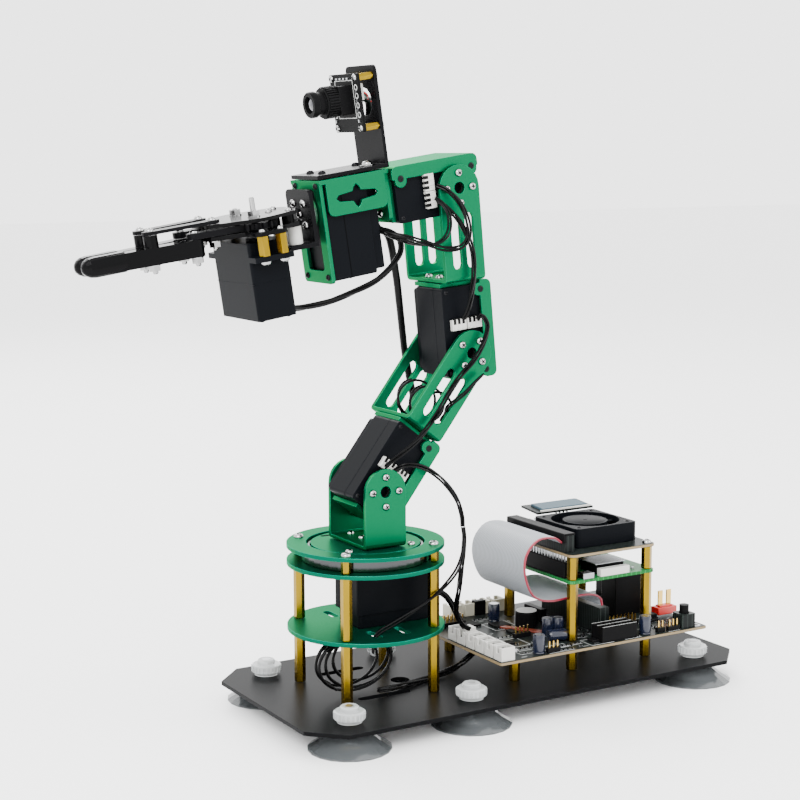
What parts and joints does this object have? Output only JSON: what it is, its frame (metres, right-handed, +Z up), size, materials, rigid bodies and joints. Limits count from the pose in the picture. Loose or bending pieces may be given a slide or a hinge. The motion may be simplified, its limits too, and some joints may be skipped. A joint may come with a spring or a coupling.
{
  "type": "desktop robot arm",
  "caption": "Desktop robot arm on a flat base: turning tower, jointed servo arm with camera mast and two-finger gripper, and a stacked computer with a ribbon cable.",
  "frame": {"origin": "centre of the footprint, on the surface it stands on", "axes": "+X from the hand towards the electronics, +Z up, +Y the far side when the hand points left"},
  "size_m": [0.3513, 0.1306, 0.3245],
  "materials": {
    "base_black": "glossy black",
    "foot_clear": "clear, slightly grey",
    "brass": "machined",
    "green_sheet": "satin green anodised",
    "steel": "bright",
    "servo_black": "fine matte",
    "black_sheet": "satin black",
    "finger_black": "satin",
    "board_black": "solder mask",
    "board_green": "solder mask",
    "ribbon_grey": "ribbed",
    "fan_black": "satin",
    "button_white": "smooth",
    "lead_black": "smooth"
  },
  "bodies": {
    "root": {"base_plate": "base_black", "suction_foot_1": "foot_clear", "suction_foot_2": "foot_clear", "suction_foot_3": "foot_clear", "suction_foot_4": "foot_clear", "suction_foot_5": "foot_clear", "suction_foot_6": "foot_clear", "tower_post_1": "brass", "tower_post_2": "brass", "tower_post_3": "brass", "tower_post_4": "brass", "servo_deck": "green_sheet", "bearing_deck": "green_sheet", "cover_ring": "green_sheet", "servo_1": "servo_black", "bearing_outer_race": "steel", "stack_column_1": "brass", "stack_column_2": "brass", "stack_column_3": "brass", "stack_column_4": "brass", "control_board": "board_black", "computer_board": "board_green", "cooling_board": "board_black", "fan_frame": "fan_black", "ribbon_cable": "ribbon_grey", "base_lead": "lead_black"},
    "fan": {"fan_rotor": "fan_black"},
    "button": {"power_button": "button_white"},
    "turntable": {"turntable_disc": "green_sheet", "bearing_inner_race": "steel", "shoulder_bracket": "green_sheet", "shoulder_horn": "steel", "shoulder_lead": "lead_black"},
    "upper_arm": {"servo_2": "servo_black", "servo_2_bracket": "green_sheet", "elbow_bracket": "green_sheet", "elbow_horn": "steel", "elbow_lead": "lead_black"},
    "forearm": {"servo_3": "servo_black", "servo_3_bracket": "green_sheet", "wrist_bracket": "green_sheet", "wrist_horn": "steel", "wrist_lead": "lead_black"},
    "wrist": {"servo_4": "servo_black", "servo_4_bracket": "green_sheet", "servo_5_bracket": "green_sheet", "servo_5": "servo_black", "camera_mast": "black_sheet", "camera_module": "board_black", "hand_lead": "lead_black"},
    "hand": {"roll_horn": "steel", "gripper_mount": "black_sheet", "palm_frame": "black_sheet", "servo_6": "servo_black"},
    "left_drive": {"drive_link": "black_sheet"},
    "right_drive": {"driven_link": "black_sheet"},
    "left_idler": {"idler_link_left": "black_sheet"},
    "right_idler": {"idler_link_right": "black_sheet"},
    "left_finger": {"finger_left": "finger_black"},
    "right_finger": {"finger_right": "finger_black"}
  },
  "joints": [
    {"name": "base_turn", "type": "hinge", "parent": "root", "child": "turntable", "pos_m": [-0.02703, 0, 0.0883], "axis": [0, 0, 1], "range_deg": [-90, 90], "deforming": ["base_lead"]},
    {"name": "shoulder", "type": "hinge", "parent": "turntable", "child": "upper_arm", "pos_m": [-0.02703, -0.0016, 0.1171], "axis": [0, 1, 0], "range_deg": [-60, 50], "deforming": ["shoulder_lead"]},
    {"name": "elbow", "type": "hinge", "parent": "upper_arm", "child": "forearm", "pos_m": [0.02341, -0.0016, 0.18283], "axis": [0, 1, 0], "range_deg": [-20, 90], "deforming": ["elbow_lead"]},
    {"name": "wrist_pitch", "type": "hinge", "parent": "forearm", "child": "wrist", "pos_m": [0.01575, -0.0016, 0.26532], "axis": [0, 1, 0], "range_deg": [-10, 130], "deforming": ["wrist_lead"]},
    {"name": "wrist_roll", "type": "hinge", "parent": "wrist", "child": "hand", "pos_m": [-0.05941, -0.0016, 0.25409], "axis": [-0.989, 0, -0.1478], "range_deg": [-90, 90], "deforming": ["hand_lead"]},
    {"name": "grip_drive", "type": "hinge", "parent": "hand", "child": "left_drive", "pos_m": [-0.09155, -0.0116, 0.24929], "axis": [-0.1478, 0, 0.989], "range_deg": [0, 50]},
    {"name": "grip_driven", "type": "hinge", "parent": "hand", "child": "right_drive", "pos_m": [-0.09155, 0.0084, 0.24929], "axis": [-0.1478, 0, 0.989], "range_deg": [-50, 0]},
    {"name": "left_idler_swing", "type": "hinge", "parent": "hand", "child": "left_idler", "pos_m": [-0.11183, -0.0091, 0.24626], "axis": [-0.1478, 0, 0.989], "range_deg": [0, 50]},
    {"name": "right_idler_swing", "type": "hinge", "parent": "hand", "child": "right_idler", "pos_m": [-0.11183, 0.0059, 0.24626], "axis": [-0.1478, 0, 0.989], "range_deg": [-50, 0]},
    {"name": "left_finger_swing", "type": "hinge", "parent": "left_drive", "child": "left_finger", "pos_m": [-0.12172, -0.0096, 0.24478], "axis": [-0.1478, 0, 0.989], "range_deg": [-50, 0]},
    {"name": "right_finger_swing", "type": "hinge", "parent": "right_drive", "child": "right_finger", "pos_m": [-0.12172, 0.0064, 0.24478], "axis": [-0.1478, 0, 0.989], "range_deg": [0, 50]},
    {"name": "fan_spin", "type": "hinge", "parent": "root", "child": "fan", "pos_m": [0.10697, -0.005, 0.08], "axis": [0, 0, 1], "continuous": true},
    {"name": "button_press", "type": "slide", "parent": "root", "child": "button", "axis": [0, 0, -1], "range_m": [0, 0.0015], "stiffness_N_per_m": 200, "springref_m": -0.001}
  ],
  "couplings": [
    {"joint": "grip_driven", "follows": "grip_drive", "ratio": -1},
    {"joint": "left_idler_swing", "follows": "grip_drive", "ratio": 1},
    {"joint": "right_idler_swing", "follows": "grip_drive", "ratio": -1},
    {"joint": "left_finger_swing", "follows": "grip_drive", "ratio": -1},
    {"joint": "right_finger_swing", "follows": "grip_drive", "ratio": 1}
  ]
}
